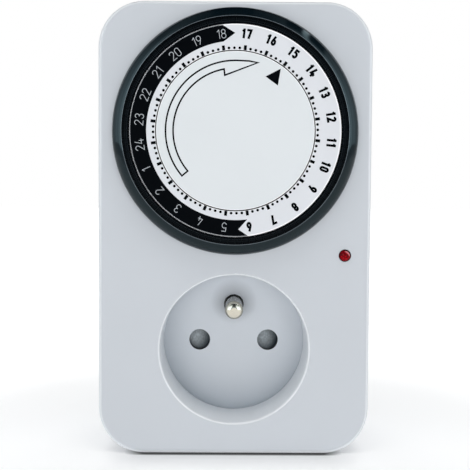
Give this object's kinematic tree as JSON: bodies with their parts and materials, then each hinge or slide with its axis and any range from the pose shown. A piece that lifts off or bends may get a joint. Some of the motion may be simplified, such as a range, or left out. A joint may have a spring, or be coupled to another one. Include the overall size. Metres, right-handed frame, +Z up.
{
  "type": "plug-in timer switch",
  "caption": "Plug-in mechanical timer: a turning day dial with push-in tabs above a recessed round socket with an earth pin, and the matching plug on the back.",
  "frame": {"origin": "centre of the housing's flat base", "axes": "+X to the right seen from the front, +Y from the front face towards the plug, +Z up from the base to the dial"},
  "size_m": [0.0723, 0.0792, 0.118],
  "materials": {
    "housing_plastic": "fine moulded texture, pale grey",
    "screw_steel": "zinc plated",
    "black_plastic": "moulded, black",
    "dial_rim_plastic": "polished black",
    "hour_ring_print": "printed foil, white with black hour marks",
    "disc_plastic": "smooth, off-white",
    "plate_plastic": "natural moulding",
    "gear_plastic": "natural acetal",
    "arbor_steel": "ground steel",
    "brass": "stamped",
    "gearbox_plastic": "natural moulding",
    "motor_steel": "drawn can",
    "copper_wire": "enamelled winding",
    "magnet": "sintered ferrite",
    "follower_plastic": "moulded",
    "copper_alloy": "spring bronze",
    "shutter_plastic": "moulded, mid grey",
    "board": "insulating board",
    "nickel_plate": "nickel plated brass",
    "slide_plastic": "moulded, dark grey",
    "lamp_red": "translucent red",
    "bulb_glass": "clear glass neon lamp",
    "lead_insulation": "flexible insulation",
    "tab_plastic": "polished black"
  },
  "bodies": {
    "housing": {"front_shell": "housing_plastic", "rear_shell": "housing_plastic", "screws": "screw_steel", "socket_floor": "housing_plastic", "centre_disc": "disc_plastic", "movement_plate": "plate_plastic", "fixed_arbors": "arbor_steel", "gearbox_case": "gearbox_plastic", "motor_can": "motor_steel", "coil_bobbin": "plate_plastic", "motor_coil": "copper_wire", "microswitch_case": "black_plastic", "switch_terminals": "brass", "shutter_spring": "arbor_steel", "socket_contacts": "brass", "supply_strips": "brass", "insulating_plate": "board", "plug_pins": "nickel_plate", "earth_pin": "nickel_plate", "earth_bracket": "brass", "earth_side_clips": "nickel_plate", "lamp_lens": "lamp_red", "lamp_bulb": "bulb_glass", "leads": "lead_insulation"},
    "dial": {"dial_drum": "black_plastic", "dial_rim": "dial_rim_plastic", "dial_label": "hour_ring_print"},
    "intermediate_gear": {"intermediate_gear": "gear_plastic"},
    "drive_pinion": {"drive_pinion": "brass"},
    "rotor": {"rotor": "magnet"},
    "switch_follower": {"switch_follower": "follower_plastic"},
    "switch_plunger": {"switch_plunger": "follower_plastic"},
    "contact_blade": {"contact_blade": "copper_alloy"},
    "socket_shutter": {"socket_shutter": "shutter_plastic"},
    "override_slide": {"override_slide": "slide_plastic", "slide_bridge": "copper_alloy"},
    "tabs_hour_01": {"tabs_hour_01": "tab_plastic"},
    "tabs_hour_02": {"tabs_hour_02": "tab_plastic"},
    "tabs_hour_03": {"tabs_hour_03": "tab_plastic"},
    "tabs_hour_04": {"tabs_hour_04": "tab_plastic"},
    "tabs_hour_05": {"tabs_hour_05": "tab_plastic"},
    "tabs_hour_06": {"tabs_hour_06": "tab_plastic"},
    "tabs_hour_07": {"tabs_hour_07": "tab_plastic"},
    "tabs_hour_08": {"tabs_hour_08": "tab_plastic"},
    "tabs_hour_09": {"tabs_hour_09": "tab_plastic"},
    "tabs_hour_10": {"tabs_hour_10": "tab_plastic"},
    "tabs_hour_11": {"tabs_hour_11": "tab_plastic"},
    "tabs_hour_12": {"tabs_hour_12": "tab_plastic"},
    "tabs_hour_13": {"tabs_hour_13": "tab_plastic"},
    "tabs_hour_14": {"tabs_hour_14": "tab_plastic"},
    "tabs_hour_15": {"tabs_hour_15": "tab_plastic"},
    "tabs_hour_16": {"tabs_hour_16": "tab_plastic"},
    "tabs_hour_17": {"tabs_hour_17": "tab_plastic"},
    "tabs_hour_18": {"tabs_hour_18": "tab_plastic"},
    "tabs_hour_19": {"tabs_hour_19": "tab_plastic"},
    "tabs_hour_20": {"tabs_hour_20": "tab_plastic"},
    "tabs_hour_21": {"tabs_hour_21": "tab_plastic"},
    "tabs_hour_22": {"tabs_hour_22": "tab_plastic"},
    "tabs_hour_23": {"tabs_hour_23": "tab_plastic"},
    "tabs_hour_24": {"tabs_hour_24": "tab_plastic"}
  },
  "joints": [
    {"name": "dial_spin", "type": "hinge", "parent": "housing", "child": "dial", "pos_m": [0, 0, 0.0843], "axis": [0, 1, 0], "continuous": true},
    {"name": "intermediate_gear_spin", "type": "hinge", "parent": "housing", "child": "intermediate_gear", "pos_m": [-0.01485, -0.012, 0.06945], "axis": [0, 1, 0], "continuous": true},
    {"name": "drive_pinion_spin", "type": "hinge", "parent": "housing", "child": "drive_pinion", "pos_m": [-0.00075, -0.012, 0.07458], "axis": [0, 1, 0], "continuous": true},
    {"name": "rotor_spin", "type": "hinge", "parent": "housing", "child": "rotor", "pos_m": [-0.00799, 0.004, 0.086], "axis": [0, 1, 0], "continuous": true},
    {"name": "follower_slide", "type": "slide", "parent": "housing", "child": "switch_follower", "axis": [0, 1, 0], "range_m": [0, 0.0008], "stiffness_N_per_m": 100, "springref_m": -0.002},
    {"name": "plunger_slide", "type": "slide", "parent": "housing", "child": "switch_plunger", "axis": [0, 1, 0], "range_m": [0, 0.0008]},
    {"name": "blade_tilt", "type": "hinge", "parent": "housing", "child": "contact_blade", "pos_m": [0.01701, -0.00565, 0.09677], "axis": [-1, 0, 0], "range_deg": [0, 5]},
    {"name": "shutter_slide", "type": "slide", "parent": "housing", "child": "socket_shutter", "axis": [0, 0, -1], "range_m": [0, 0.0065], "stiffness_N_per_m": 60, "springref_m": -0.003, "deforming": ["shutter_spring"]},
    {"name": "override_slide_travel", "type": "slide", "parent": "housing", "child": "override_slide", "axis": [0, 0, 1], "range_m": [0, 0.004]},
    {"name": "tabs_hour_01_slide", "type": "slide", "parent": "dial", "child": "tabs_hour_01", "axis": [0, 1, 0], "range_m": [0, 0.002]},
    {"name": "tabs_hour_02_slide", "type": "slide", "parent": "dial", "child": "tabs_hour_02", "axis": [0, 1, 0], "range_m": [0, 0.002]},
    {"name": "tabs_hour_03_slide", "type": "slide", "parent": "dial", "child": "tabs_hour_03", "axis": [0, 1, 0], "range_m": [0, 0.002]},
    {"name": "tabs_hour_04_slide", "type": "slide", "parent": "dial", "child": "tabs_hour_04", "axis": [0, 1, 0], "range_m": [0, 0.002]},
    {"name": "tabs_hour_05_slide", "type": "slide", "parent": "dial", "child": "tabs_hour_05", "axis": [0, 1, 0], "range_m": [0, 0.002]},
    {"name": "tabs_hour_06_slide", "type": "slide", "parent": "dial", "child": "tabs_hour_06", "axis": [0, 1, 0], "range_m": [0, 0.002]},
    {"name": "tabs_hour_07_slide", "type": "slide", "parent": "dial", "child": "tabs_hour_07", "axis": [0, 1, 0], "range_m": [0, 0.002]},
    {"name": "tabs_hour_08_slide", "type": "slide", "parent": "dial", "child": "tabs_hour_08", "axis": [0, 1, 0], "range_m": [0, 0.002]},
    {"name": "tabs_hour_09_slide", "type": "slide", "parent": "dial", "child": "tabs_hour_09", "axis": [0, 1, 0], "range_m": [0, 0.002]},
    {"name": "tabs_hour_10_slide", "type": "slide", "parent": "dial", "child": "tabs_hour_10", "axis": [0, 1, 0], "range_m": [0, 0.002]},
    {"name": "tabs_hour_11_slide", "type": "slide", "parent": "dial", "child": "tabs_hour_11", "axis": [0, 1, 0], "range_m": [0, 0.002]},
    {"name": "tabs_hour_12_slide", "type": "slide", "parent": "dial", "child": "tabs_hour_12", "axis": [0, 1, 0], "range_m": [0, 0.002]},
    {"name": "tabs_hour_13_slide", "type": "slide", "parent": "dial", "child": "tabs_hour_13", "axis": [0, 1, 0], "range_m": [0, 0.002]},
    {"name": "tabs_hour_14_slide", "type": "slide", "parent": "dial", "child": "tabs_hour_14", "axis": [0, 1, 0], "range_m": [0, 0.002]},
    {"name": "tabs_hour_15_slide", "type": "slide", "parent": "dial", "child": "tabs_hour_15", "axis": [0, 1, 0], "range_m": [0, 0.002]},
    {"name": "tabs_hour_16_slide", "type": "slide", "parent": "dial", "child": "tabs_hour_16", "axis": [0, 1, 0], "range_m": [0, 0.002]},
    {"name": "tabs_hour_17_slide", "type": "slide", "parent": "dial", "child": "tabs_hour_17", "axis": [0, 1, 0], "range_m": [0, 0.002]},
    {"name": "tabs_hour_18_slide", "type": "slide", "parent": "dial", "child": "tabs_hour_18", "axis": [0, 1, 0], "range_m": [0, 0.002]},
    {"name": "tabs_hour_19_slide", "type": "slide", "parent": "dial", "child": "tabs_hour_19", "axis": [0, 1, 0], "range_m": [0, 0.002]},
    {"name": "tabs_hour_20_slide", "type": "slide", "parent": "dial", "child": "tabs_hour_20", "axis": [0, 1, 0], "range_m": [0, 0.002]},
    {"name": "tabs_hour_21_slide", "type": "slide", "parent": "dial", "child": "tabs_hour_21", "axis": [0, 1, 0], "range_m": [0, 0.002]},
    {"name": "tabs_hour_22_slide", "type": "slide", "parent": "dial", "child": "tabs_hour_22", "axis": [0, 1, 0], "range_m": [0, 0.002]},
    {"name": "tabs_hour_23_slide", "type": "slide", "parent": "dial", "child": "tabs_hour_23", "axis": [0, 1, 0], "range_m": [0, 0.002]},
    {"name": "tabs_hour_24_slide", "type": "slide", "parent": "dial", "child": "tabs_hour_24", "axis": [0, 1, 0], "range_m": [0, 0.002]}
  ],
  "couplings": [
    {"joint": "intermediate_gear_spin", "follows": "dial_spin", "ratio": -6},
    {"joint": "drive_pinion_spin", "follows": "dial_spin", "ratio": 30},
    {"joint": "plunger_slide", "follows": "follower_slide", "ratio": 1},
    {"joint": "blade_tilt", "follows": "follower_slide", "rad_per_m": 103.09}
  ]
}
